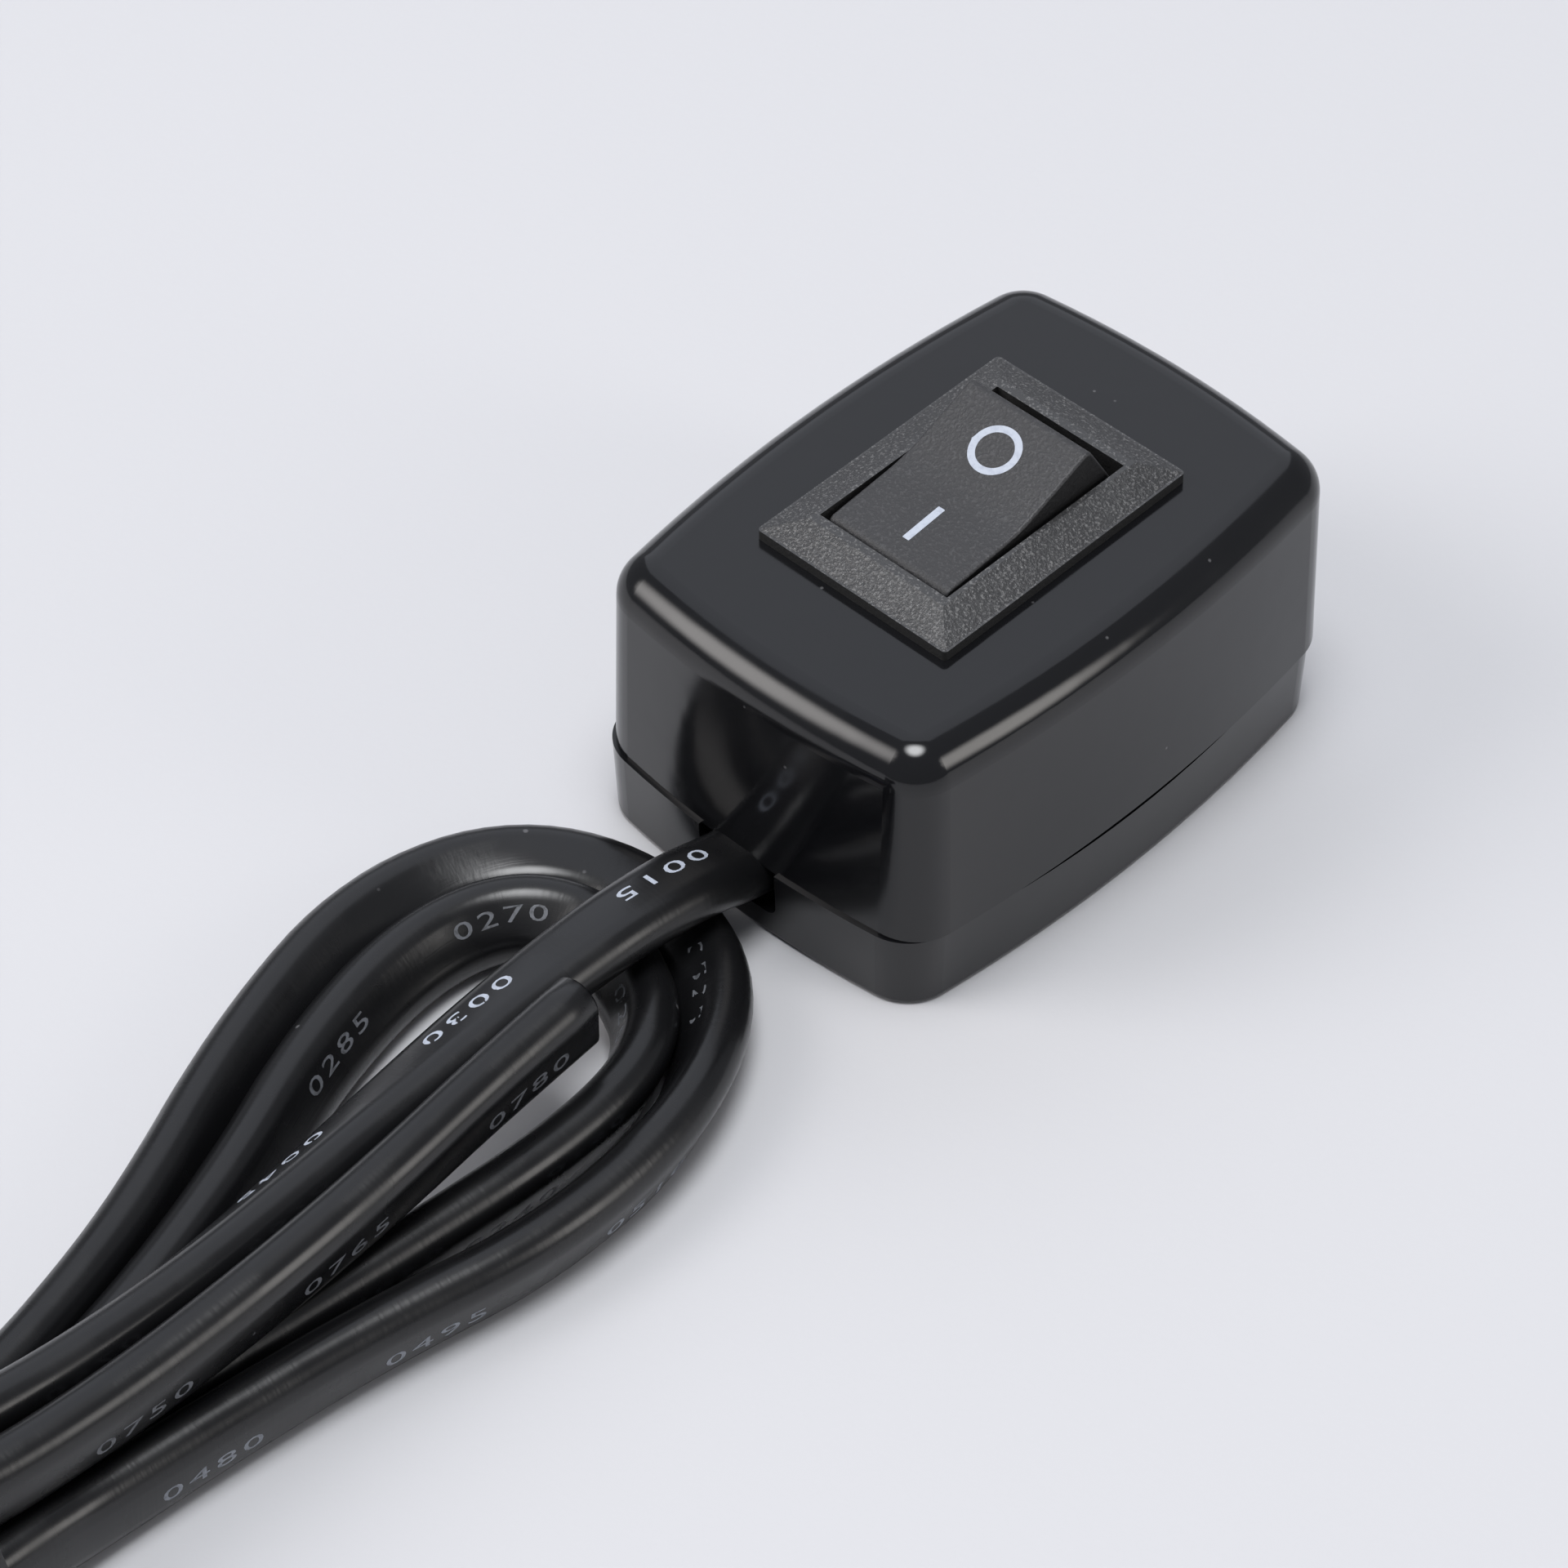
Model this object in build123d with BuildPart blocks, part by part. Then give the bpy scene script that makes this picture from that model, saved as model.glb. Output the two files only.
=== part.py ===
from build123d import *
import os
from math import atan, cos, degrees, radians, sin, tan

os.makedirs("parts", exist_ok=True)

# Case: a box with bowed sides, in two mouldings that meet at the parting plane
case_width = 28.85  # across the middle of the long sides, at the parting plane
case_length = 39.25
case_height = 20.0
parting_height = 5.6
side_bulge = 1.55  # how far a long side bows out past its corners
end_bulge = 1.1
corner_radius = 3.5
case_wall = 1.8
roof_thickness = 2.0
cover_draft = 1.55  # degrees that the cover's walls lean in towards its top
base_draft = 2.35  # degrees that the base's walls lean in towards its bottom
top_edge_radius = 2.6
bottom_edge_radius = 0.4

# The base sits a little off centre under the cover, as the loose moulding does
base_inset = 0.03  # how much smaller the base is all round
base_shift_x = -0.11
base_shift_y = -0.24
base_floor = 1.8
rim_bow_depth = 0.52  # sag of the base's rim along its right side
rim_bow_radius = 165.0
rim_bow_y = 0.0

# Case screws, driven from below into bosses under the cover's roof
screw_pitch_x = 16.0
screw_pitch_y = 27.2
screw_radius = 1.1
screw_length = 8.0
screw_head_radius = 2.0
screw_head_height = 1.3
screw_hole_clearance = 0.15
screw_head_clearance = 0.3
screw_seat_height = 1.9  # underside of the head to the resting surface
recess_width = 0.55
recess_length = 2.4
recess_depth = 0.7
pillar_radius = 3.0
pillar_height = 4.2
boss_radius = 2.4
pilot_clearance = 0.02
pilot_spare_depth = 1.0

# Flat two-core cable
cable_width = 5.2
cable_thickness = 3.2
cable_x = -0.4  # where the cable leaves, across the case
jacket_end_y = -12.2  # where the outer jacket is stripped back
core_radius = 1.0
core_spacing = 2.1
core_start_gap = 0.08  # between the jacket's end and the bared cores
notch_clearance = 0.5
notch_floor = 1.95
notch_corner_radius = 0.8
cheek_thickness = 1.3
cheek_height = 4.6
cheek_clearance = 0.3
press_fin_thickness = 1.2
press_fin_y = -15.4
press_fin_gap = 0.2

# Rocker switch: panel frame with a bevelled bezel
bezel_width = 15.0
bezel_length = 21.0
bezel_edge = 0.7
bezel_rise = 0.85
bezel_bevel = 2.0
bezel_corner_radius = 0.3
window_width = 10.1
window_length = 15.4
body_width = 12.9
body_length = 18.9
body_depth = 10.6
body_wall = 1.0
body_floor = 1.0
cutout_clearance = 0.15
wing_width = 6.0
wing_reach = 0.6
wing_drop = 4.0
wing_gap = 0.1

# Rocker, tilted with its near end pressed
pivot_depth = 2.2  # pivot axis below the top of the cover
rocker_tilt = 13.5  # degrees from the middle position
rocker_width = 9.4
rocker_dish = 8.5  # degrees that each half leans up from the middle
rocker_flank = 6.42  # length of each half
rocker_crown = 4.25  # middle of the top above the pivot
rocker_end_flare = 17.0
rocker_skirt = 1.4  # lower edge of the ends, above the pivot
rocker_top_thickness = 1.5
rocker_side_wall = 1.2
rocker_bend_radius = 9.0
rocker_edge_radius = 0.55
rocker_side_radius = 0.2
hub_radius = 2.2
trunnion_radius = 1.0
trunnion_clearance = 0.05
trunnion_gap = 0.25  # end of a trunnion short of the body's outer face
stem_radius = 2.0
stem_length = 2.6
bore_depth = 5.3

# Plunger and spring inside the stem
plunger_radius = 1.2
plunger_clearance = 0.05
plunger_length = 2.6
plunger_tip_radius = 0.8
plunger_reach = 5.0  # tip below the pivot
spring_wire = 0.16  # wire radius
spring_radius = 0.85
spring_turns = 4
spring_gap = 0.05

# Contact seesaw on its ridge, and the terminals
seesaw_height = 2.4  # seesaw axis above the bottom of the switch body
seesaw_tilt = 8.0
seesaw_width = 3.6
seesaw_half_length = 5.7
seesaw_thickness = 0.6
seesaw_notch = 0.92  # top of the seesaw above its axis, in the middle
seesaw_notch_reach = 1.3
seesaw_notch_rise = 0.3
seesaw_end_rise = 1.05
ridge_radius = 0.5
ridge_clearance = 0.05
contact_y = 5.0
contact_radius = 1.0
contact_thickness = 0.3
contact_gap = 0.04
terminal_width = 4.7
terminal_foot = 0.5  # thickness of the part that lies on the body's floor
lug_width = 2.2
lug_thickness = 0.8
lug_length = 4.6  # below the switch body
lug_x = 1.3  # centre lug to the left, end lug to the right
lug_clearance = 0.1
end_terminal_y = 6.0
saddle_length = 3.0
solder_radius = 1.1
solder_length = 1.1
sleeve_wall = 0.3
sleeve_clearance = 0.1
sleeve_length = 3.2
joint_margin = 0.3  # from a solder joint to the end of its lug

# Hank: the cable folded into loops, tied at a waist
strand_height = cable_width
near_loop_centre = (-2.1, -38.7)
near_loop_radius = 14.0
near_eye_centre = (-1.6, -41.0)
near_eye_radius = 6.9
near_eye_tip = (0.6, -62.0)
waist_x = 1.7
waist_near_y = -76.0
waist_far_y = -92.0
waist_width = 4 * cable_thickness + 0.2
far_loop_centre = (2.5, -124.0)
far_loop_radius = 20.6
far_eye_radius = 11.0
far_eye_tip = (1.9, -104.0)
eye_tip_radius = 0.8
cord_end_gap = 0.06
saddle_front_y = -25.5  # the loops lean over here, where the lead crosses them
saddle_front_height = 4.1
saddle_middle_y = -28.0
saddle_middle_height = 4.5
saddle_back_y = -33.5
shoulder_end_y = -104.0
top_turn_radius = 17.2  # the last turn lies on top of the far loops
top_turn_start_y = -100.0
top_turn_level_y = -122.0
tie_y = -86.5
tie_width = 5.0
tie_thickness = 0.8
tie_gap = 0.15

# Route of the lead's middle line, from inside the case to the waist of the hank
lead_points = [
    (cable_x, jacket_end_y, 3.45),
    (-0.40, -16.4, 3.53),
    (-0.40, -20.3, 3.94),
    (-0.36, -23.3, 5.35),
    (-0.30, -26.4, 6.52),
    (-0.22, -31.0, 6.98),
    (-0.45, -38.5, 7.05),
    (-0.35, -46.8, 6.98),
    (-0.12, -55.4, 7.02),
    (0.05, -64.2, 6.98),
    (0.10, -73.2, 7.00),
    (0.02, -82.2, 6.96),
    (0.04, waist_far_y + cord_end_gap, 7.00),
]

# Route of the tail, from the waist to its cut end beside the lead
tail_points = [
    (4.46, waist_far_y + cord_end_gap, 7.92),
    (4.52, -83.0, 7.94),
    (4.50, -74.0, 7.92),
    (4.40, -64.6, 7.94),
    (4.26, -55.0, 7.92),
    (4.18, -45.2, 7.94),
    (4.20, -35.4, 7.90),
]

# Values that follow from the sizes above
ceiling_height = case_height - roof_thickness
body_bottom = case_height - body_depth
cavity_floor = body_bottom + body_floor
pivot_height = case_height - pivot_depth
seesaw_axis = body_bottom + seesaw_height
lug_bottom = body_bottom - lug_length
base_plane = Plane((base_shift_x, base_shift_y, 0))

# The rocker's own planes: one across it, seen from the side, and one up along its stem
tilt = radians(rocker_tilt)
rocker_side = Plane((0, 0, pivot_height), x_dir=(0, cos(tilt), sin(tilt)), z_dir=(1, 0, 0))
rocker_up = Plane((0, 0, pivot_height), x_dir=(1, 0, 0), z_dir=(0, -sin(tilt), cos(tilt)))

# The seesaw's own plane, seen from the side, with its far end down
lean = radians(-seesaw_tilt)
seesaw_side = Plane((0, 0, seesaw_axis), x_dir=(0, cos(lean), sin(lean)), z_dir=(1, 0, 0))
seesaw_up = Plane((0, 0, seesaw_axis), x_dir=(1, 0, 0), z_dir=(0, -sin(lean), cos(lean)))


def barrel(inset):
    """Outline of the case with bowed sides, drawn in by inset all round."""
    half_width = case_width / 2 - inset
    half_length = case_length / 2 - inset
    corner_x = half_width - side_bulge
    corner_y = half_length - end_bulge
    with BuildSketch() as outline:
        with BuildLine():
            ThreePointArc((corner_x, -corner_y), (half_width, 0), (corner_x, corner_y))
            ThreePointArc((corner_x, corner_y), (0, half_length), (-corner_x, corner_y))
            ThreePointArc((-corner_x, corner_y), (-half_width, 0), (-corner_x, -corner_y))
            ThreePointArc((-corner_x, -corner_y), (0, -half_length), (corner_x, -corner_y))
        make_face()
        fillet(outline.vertices(), max(corner_radius - inset, 1.0))
    return outline.sketch


def teardrop(centre, radius, tip, tip_radius):
    """Rounded loop that narrows to a tip."""
    with BuildSketch() as outline:
        with BuildLine():
            CenterArc(centre, radius, 0, 360)
            CenterArc(tip, tip_radius, 0, 360)
        make_hull()
    return outline.sketch


def bend_radii(name, points):
    """Largest arcs that the runs of a route leave room for."""
    radii = []
    for before, here, after in zip(points, points[1:], points[2:]):
        first = Vector(*here) - Vector(*before)
        second = Vector(*after) - Vector(*here)
        shorter = min(first.length, second.length)
        radii.append(0.45 * shorter / tan(radians(first.get_angle(second) / 2)))
    print(name, "bend radii", [round(radius, 1) for radius in radii])
    return radii


# Cover: drafted shell with the switch cut-out, screw bosses and a fin that holds the cable down
with BuildPart() as top_cover:
    parting_plane = Plane.XY.offset(parting_height)
    with BuildSketch(parting_plane):
        add(barrel(0))
    extrude(amount=case_height - parting_height)
    cover_sides = top_cover.faces().filter_by(Axis.Z, reverse=True)
    draft(cover_sides, parting_plane, cover_draft)
    fillet(top_cover.faces().sort_by(Axis.Z)[-1].edges(), top_edge_radius)
    with BuildSketch(parting_plane):
        add(barrel(case_wall))
    extrude(amount=ceiling_height - parting_height, mode=Mode.SUBTRACT)
    with BuildSketch(Plane.XY.offset(pillar_height)):
        with GridLocations(screw_pitch_x, screw_pitch_y, 2, 2):
            Circle(boss_radius)
    extrude(amount=ceiling_height + roof_thickness / 2 - pillar_height)
    fin_bottom = lead_points[1][2] + cable_thickness / 2 + press_fin_gap
    fin_width = cable_width + 2 * cheek_clearance
    with BuildSketch(Plane.XY.offset(fin_bottom)):
        with Locations((cable_x, press_fin_y)):
            Rectangle(fin_width, press_fin_thickness)
    extrude(amount=ceiling_height + roof_thickness / 2 - fin_bottom)
    with BuildSketch(Plane.XY.offset(pillar_height)):
        with GridLocations(screw_pitch_x, screw_pitch_y, 2, 2):
            Circle(screw_radius + pilot_clearance)
    pilot_depth = screw_seat_height + screw_length + pilot_spare_depth - pillar_height
    extrude(amount=pilot_depth, mode=Mode.SUBTRACT)
    with BuildSketch(Plane.XY.offset(case_height)):
        Rectangle(body_width + 2 * cutout_clearance, body_length + 2 * cutout_clearance)
    extrude(amount=-roof_thickness, mode=Mode.SUBTRACT)
top_cover.part.label = "top_cover"
export_step(top_cover.part, "parts/top_cover.step")

# Base: shallow tray with screw pillars, a notch for the cable and cheeks that guide it
notch_width = cable_width + 2 * notch_clearance
with BuildPart() as base:
    with BuildSketch(base_plane):
        add(barrel(base_inset))
    extrude(amount=parting_height)
    base_sides = base.faces().filter_by(Axis.Z, reverse=True)
    draft(base_sides, base_plane.offset(parting_height), -base_draft)
    fillet(base.faces().sort_by(Axis.Z)[0].edges(), bottom_edge_radius)
    with BuildSketch(base_plane.offset(base_floor)):
        add(barrel(base_inset + case_wall))
    extrude(amount=parting_height - base_floor, mode=Mode.SUBTRACT)
    with BuildSketch(Plane.XY.offset(base_floor / 2)):
        with GridLocations(screw_pitch_x, screw_pitch_y, 2, 2):
            Circle(pillar_radius)
    extrude(amount=pillar_height - base_floor / 2)
    cheek_reach = case_length / 2 - case_wall / 2 + jacket_end_y
    cheek_offset = cable_width + 2 * cheek_clearance + cheek_thickness
    with BuildSketch(Plane.XY.offset(base_floor / 2)):
        with Locations((cable_x, jacket_end_y - cheek_reach / 2)):
            with GridLocations(cheek_offset, 1, 2, 1):
                Rectangle(cheek_thickness, cheek_reach)
    extrude(amount=cheek_height - base_floor / 2)
    with BuildSketch(Plane.XZ.offset(case_length / 2 - 2 * case_wall)) as notch:
        with Locations((cable_x, notch_floor)):
            Rectangle(notch_width, parting_height, align=(Align.CENTER, Align.MIN))
        fillet(notch.vertices().group_by(Axis.Z)[0], notch_corner_radius)
    extrude(amount=4 * case_wall, mode=Mode.SUBTRACT)
    with Locations(Plane.XY.rotated((180, 0, 0))):
        with GridLocations(screw_pitch_x, screw_pitch_y, 2, 2):
            CounterBoreHole(
                radius=screw_radius + screw_hole_clearance,
                counter_bore_radius=screw_head_radius + screw_head_clearance,
                counter_bore_depth=screw_seat_height,
                depth=pillar_height,
            )
    with BuildSketch(Plane.YZ):
        with Locations((rim_bow_y, parting_height + rim_bow_radius - rim_bow_depth)):
            Circle(rim_bow_radius)
    extrude(amount=case_width, mode=Mode.SUBTRACT)
base.part.label = "base"
export_step(base.part, "parts/base.step")

# Case screws: pan heads with a cross recess and a pointed shank
shank_straight = screw_length - 2 * screw_radius
with BuildPart() as case_screws:
    with GridLocations(screw_pitch_x, screw_pitch_y, 2, 2):
        with Locations((0, 0, screw_seat_height - screw_head_height)):
            Cylinder(screw_head_radius, screw_head_height, align=(Align.CENTER, Align.CENTER, Align.MIN))
            for turn in (0, 90):
                Box(
                    recess_length,
                    recess_width,
                    recess_depth,
                    rotation=(0, 0, turn),
                    align=(Align.CENTER, Align.CENTER, Align.MIN),
                    mode=Mode.SUBTRACT,
                )
        with Locations((0, 0, screw_seat_height)):
            Cylinder(screw_radius, shank_straight, align=(Align.CENTER, Align.CENTER, Align.MIN))
        with Locations((0, 0, screw_seat_height + shank_straight)):
            Cone(
                screw_radius,
                screw_radius / 4,
                2 * screw_radius,
                align=(Align.CENTER, Align.CENTER, Align.MIN),
            )
case_screws.part.label = "case_screws"
export_step(case_screws.part, "parts/case_screws.step")

# Switch frame: bevelled bezel and open-topped body in one moulding
bevel_angle = degrees(atan(bezel_bevel / bezel_rise))
with BuildPart() as switch_frame:
    with BuildSketch(Plane.XY.offset(case_height)):
        RectangleRounded(bezel_width, bezel_length, bezel_corner_radius)
    extrude(amount=bezel_edge)
    with BuildSketch(Plane.XY.offset(case_height + bezel_edge)):
        Rectangle(bezel_width - bezel_corner_radius, bezel_length - bezel_corner_radius)
    extrude(amount=bezel_rise, taper=bevel_angle)
    with BuildSketch(Plane.XY.offset(body_bottom)):
        Rectangle(body_width, body_length)
    extrude(amount=body_depth)
    for end in (-1, 1):
        with BuildSketch(Plane.YZ):
            wing_foot = end * (body_length / 2 - body_wall / 2)
            wing_lip = end * (body_length / 2 + wing_reach)
            wing_top = ceiling_height - wing_gap
            with BuildLine():
                Polyline(
                    (wing_foot, wing_top),
                    (wing_lip, wing_top),
                    (wing_foot, wing_top - wing_drop),
                    close=True,
                )
            make_face()
        extrude(amount=wing_width / 2, both=True)
    with BuildSketch(Plane.XY.offset(cavity_floor)):
        Rectangle(body_width - 2 * body_wall, body_length - 2 * body_wall)
    extrude(amount=case_height - cavity_floor, mode=Mode.SUBTRACT)
    with BuildSketch(Plane.XY.offset(case_height)):
        Rectangle(window_width, window_length)
    extrude(amount=bezel_edge + bezel_rise, mode=Mode.SUBTRACT)
    with BuildSketch(Plane.YZ):
        with Locations((0, pivot_height)):
            Circle(trunnion_radius + trunnion_clearance)
    extrude(amount=body_width / 2, both=True, mode=Mode.SUBTRACT)
    with BuildSketch(Plane.XY.offset(body_bottom)):
        with Locations((-lug_x, 0), (lug_x, end_terminal_y)):
            Rectangle(lug_width + 2 * lug_clearance, lug_thickness + 2 * lug_clearance)
    extrude(amount=body_floor, mode=Mode.SUBTRACT)
switch_frame.part.label = "switch_frame"
export_step(switch_frame.part, "parts/switch_frame.step")

# Rocker: dished top with flared ends, hollow underneath, with trunnions and a bored stem
dish = radians(rocker_dish)
end_y = rocker_flank * cos(dish)
end_z = rocker_crown + rocker_flank * sin(dish)
foot_y = end_y + (end_z - rocker_skirt) * tan(radians(rocker_end_flare))
inner_drop = rocker_top_thickness
inner_y = end_y - rocker_top_thickness
inner_foot_y = foot_y - rocker_top_thickness
with BuildPart() as rocker:
    with BuildSketch(rocker_side):
        with BuildLine():
            Polyline(
                (0, rocker_crown),
                (end_y, end_z),
                (foot_y, rocker_skirt),
                (hub_radius, 0),
                (-hub_radius, 0),
                (-foot_y, rocker_skirt),
                (-end_y, end_z),
                close=True,
            )
        make_face()
        Circle(hub_radius)
    extrude(amount=rocker_width / 2, both=True)
    with BuildSketch(rocker_side):
        with BuildLine():
            Polyline(
                (0, rocker_crown - inner_drop),
                (inner_y, end_z - inner_drop),
                (inner_foot_y, rocker_skirt),
                (inner_foot_y, -2 * hub_radius),
                (-inner_foot_y, -2 * hub_radius),
                (-inner_foot_y, rocker_skirt),
                (-inner_y, end_z - inner_drop),
                close=True,
            )
        make_face()
    extrude(amount=rocker_width / 2 - rocker_side_wall, both=True, mode=Mode.SUBTRACT)
    crown = rocker_up.offset(rocker_crown).origin
    bend = rocker.edges().filter_by(Axis.X).sort_by_distance(crown)[0]
    fillet(bend, rocker_bend_radius)
    ends = [rocker_side.from_local_coords((side * end_y, end_z)) for side in (-1, 1)]
    for corner in ends:
        fillet(rocker.edges().filter_by(Axis.X).sort_by_distance(corner)[0], rocker_edge_radius)
    side_faces = rocker.faces().filter_by(Axis.X).group_by(Axis.X)
    top_level = rocker_up.offset(rocker_crown - rocker_edge_radius)
    for faces in (side_faces[0], side_faces[-1]):
        top_edges = [edge for edge in faces.edges() if top_level.to_local_coords(edge @ 0.5).Z > 0]
        fillet(top_edges, rocker_side_radius)
    with BuildSketch(rocker_up.offset(-stem_length)):
        Circle(stem_radius)
    extrude(amount=stem_length + rocker_crown - rocker_top_thickness / 2)
    with BuildSketch(rocker_up.offset(-stem_length)):
        Circle(plunger_radius + plunger_clearance)
    extrude(amount=bore_depth, mode=Mode.SUBTRACT)
    trunnion_end = body_width / 2 - trunnion_gap
    inner_side = rocker_width / 2 - rocker_side_wall
    for side in (-1, 1):
        with BuildSketch(rocker_side.offset(side * inner_side)):
            Circle(trunnion_radius)
        extrude(amount=side * (trunnion_end - inner_side))
rocker.part.label = "rocker"
export_step(rocker.part, "parts/rocker.step")

# Plunger: round-nosed slider in the stem's bore
tip_centre = plunger_reach - plunger_tip_radius
tip_side = plunger_tip_radius * sin(radians(45))
plunger_foot = tip_centre - plunger_tip_radius / 2
with BuildPart() as plunger:
    with BuildSketch(rocker_side):
        with BuildLine():
            Polyline(
                (0, -tip_centre - plunger_tip_radius),
                (0, -plunger_foot + plunger_length),
                (plunger_radius, -plunger_foot + plunger_length),
                (plunger_radius, -plunger_foot),
                (plunger_tip_radius, -tip_centre),
            )
            ThreePointArc(
                (plunger_tip_radius, -tip_centre),
                (tip_side, -tip_centre - tip_side),
                (0, -tip_centre - plunger_tip_radius),
            )
        make_face()
    revolve(axis=Axis(rocker_up.origin, rocker_up.z_dir))
plunger.part.label = "plunger"
export_step(plunger.part, "parts/plunger.step")

# Contact spring: closed coil between the plunger and the top of the bore
spring_foot = -plunger_foot + plunger_length + spring_gap + spring_wire
spring_top = bore_depth - stem_length - spring_gap - spring_wire
spring_pitch = (spring_top - spring_foot) / spring_turns
with BuildPart() as contact_spring:
    with BuildLine() as coil:
        Helix(
            pitch=spring_pitch,
            height=spring_top - spring_foot,
            radius=spring_radius,
            center=rocker_up.offset(spring_foot).origin,
            direction=rocker_up.z_dir,
        )
    with BuildSketch(Plane(coil.line @ 0, z_dir=coil.line % 0)):
        RegularPolygon(spring_wire, 6)
    sweep(path=coil.line, is_frenet=True)
contact_spring.part.label = "contact_spring"
export_step(contact_spring.part, "parts/contact_spring.step")

# Contact seesaw: a bent strip that rocks on the centre terminal's ridge
rise = seesaw_notch + seesaw_notch_rise
with BuildPart() as contact_seesaw:
    with BuildSketch(seesaw_side):
        with BuildLine():
            Polyline(
                (0, seesaw_notch),
                (seesaw_notch_reach, rise),
                (seesaw_half_length, seesaw_end_rise),
                (seesaw_half_length, seesaw_end_rise - seesaw_thickness),
                (seesaw_notch_reach, rise - seesaw_thickness),
                (2 * ridge_radius, 0),
                (-2 * ridge_radius, 0),
                (-seesaw_notch_reach, rise - seesaw_thickness),
                (-seesaw_half_length, seesaw_end_rise - seesaw_thickness),
                (-seesaw_half_length, seesaw_end_rise),
                (-seesaw_notch_reach, rise),
                close=True,
            )
        make_face()
        Circle(ridge_radius + ridge_clearance, mode=Mode.SUBTRACT)
    extrude(amount=seesaw_width / 2, both=True)
contact_seesaw.part.label = "contact_seesaw"
export_step(contact_seesaw.part, "parts/contact_seesaw.step")

# Moving contact: silver button under the seesaw's far end
slope = (rise - seesaw_end_rise) / (seesaw_half_length - seesaw_notch_reach)
strip_under = seesaw_end_rise - seesaw_thickness + slope * (seesaw_half_length - contact_y)
with BuildPart() as moving_contact:
    with BuildSketch(seesaw_up.offset(strip_under - slope * contact_radius - contact_thickness)):
        with Locations((0, contact_y)):
            Circle(contact_radius)
    extrude(amount=contact_thickness)
moving_contact.part.label = "moving_contact"
export_step(moving_contact.part, "parts/moving_contact.step")

# Centre terminal: solder lug below the body, saddle and rounded ridge above its floor
foot_top = cavity_floor + terminal_foot
with BuildPart() as centre_terminal:
    with BuildSketch(Plane.XY.offset(lug_bottom)):
        with Locations((-lug_x, 0)):
            Rectangle(lug_width, lug_thickness)
    extrude(amount=cavity_floor - lug_bottom)
    with BuildSketch(Plane.XY.offset(cavity_floor)):
        Rectangle(terminal_width, saddle_length)
    extrude(amount=terminal_foot)
    with BuildSketch(Plane.XY.offset(foot_top)):
        Rectangle(seesaw_width, 2 * ridge_radius)
    extrude(amount=seesaw_axis - foot_top)
    with BuildSketch(Plane.YZ):
        with Locations((0, seesaw_axis)):
            Circle(ridge_radius)
    extrude(amount=seesaw_width / 2, both=True)
centre_terminal.part.label = "centre_terminal"
export_step(centre_terminal.part, "parts/centre_terminal.step")

# End terminal: solder lug with a foot that carries the fixed contact
foot_near_y = contact_y - contact_radius - terminal_foot
foot_far_y = end_terminal_y + lug_thickness / 2
with BuildPart() as end_terminal:
    with BuildSketch(Plane.XY.offset(lug_bottom)):
        with Locations((lug_x, end_terminal_y)):
            Rectangle(lug_width, lug_thickness)
    extrude(amount=cavity_floor - lug_bottom)
    with BuildSketch(Plane.XY.offset(cavity_floor)):
        with Locations((0, foot_far_y)):
            Rectangle(terminal_width, foot_far_y - foot_near_y, align=(Align.CENTER, Align.MAX))
    extrude(amount=terminal_foot)
end_terminal.part.label = "end_terminal"
export_step(end_terminal.part, "parts/end_terminal.step")

# Fixed contact: silver button that the moving contact closes on
closed_y = contact_y * cos(lean)
button_reach = strip_under - slope * contact_radius - contact_thickness
closed_height = seesaw_axis + contact_y * sin(lean) + button_reach * cos(lean)
button_low = closed_height - contact_radius * sin(-lean) - contact_gap
with BuildPart() as fixed_contact:
    with BuildSketch(Plane.XY.offset(foot_top)):
        with Locations((0, closed_y)):
            Circle(contact_radius)
    extrude(amount=button_low - foot_top)
fixed_contact.part.label = "fixed_contact"
export_step(fixed_contact.part, "parts/fixed_contact.step")

# Cores: two insulated wires from the stripped jacket to the terminal lugs
core_start_y = jacket_end_y + core_start_gap
core_start_z = lead_points[0][2]
core_height = lug_bottom + joint_margin + solder_radius
brown_end_y = -lug_thickness / 2 - solder_length
blue_end_y = end_terminal_y - lug_thickness / 2 - solder_length
brown_points = [
    (cable_x - core_spacing / 2, core_start_y, core_start_z),
    (-1.42, -9.4, core_start_z + 0.1),
    (-lug_x, -6.0, core_height),
    (-lug_x, brown_end_y, core_height),
]
blue_points = [
    (cable_x + core_spacing / 2, core_start_y, core_start_z),
    (0.74, -9.4, core_start_z + 0.1),
    (lug_x + 0.05, -6.0, core_height - 0.1),
    (lug_x, -0.8, core_height),
    (lug_x, blue_end_y, core_height),
]
with BuildPart() as core_brown:
    with BuildLine() as brown_route:
        FilletPolyline(*brown_points, radius=bend_radii("brown core", brown_points))
    with BuildSketch(Plane(brown_route.line @ 0, z_dir=brown_route.line % 0)):
        Circle(core_radius)
    sweep(path=brown_route.line)
core_brown.part.label = "core_brown"
export_step(core_brown.part, "parts/core_brown.step")

with BuildPart() as core_blue:
    with BuildLine() as blue_route:
        FilletPolyline(*blue_points, radius=bend_radii("blue core", blue_points))
    with BuildSketch(Plane(blue_route.line @ 0, z_dir=blue_route.line % 0)):
        Circle(core_radius)
    sweep(path=blue_route.line)
core_blue.part.label = "core_blue"
export_step(core_blue.part, "parts/core_blue.step")

# Solder joints between the cores' ends and the lugs
joint_ends = [(-lug_x, brown_end_y), (lug_x, blue_end_y)]
with BuildPart() as solder_joints:
    for joint_x, joint_y in joint_ends:
        with BuildSketch(Plane((joint_x, joint_y, core_height), z_dir=(0, 1, 0))):
            Circle(solder_radius)
        extrude(amount=solder_length)
solder_joints.part.label = "solder_joints"
export_step(solder_joints.part, "parts/solder_joints.step")

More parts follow.
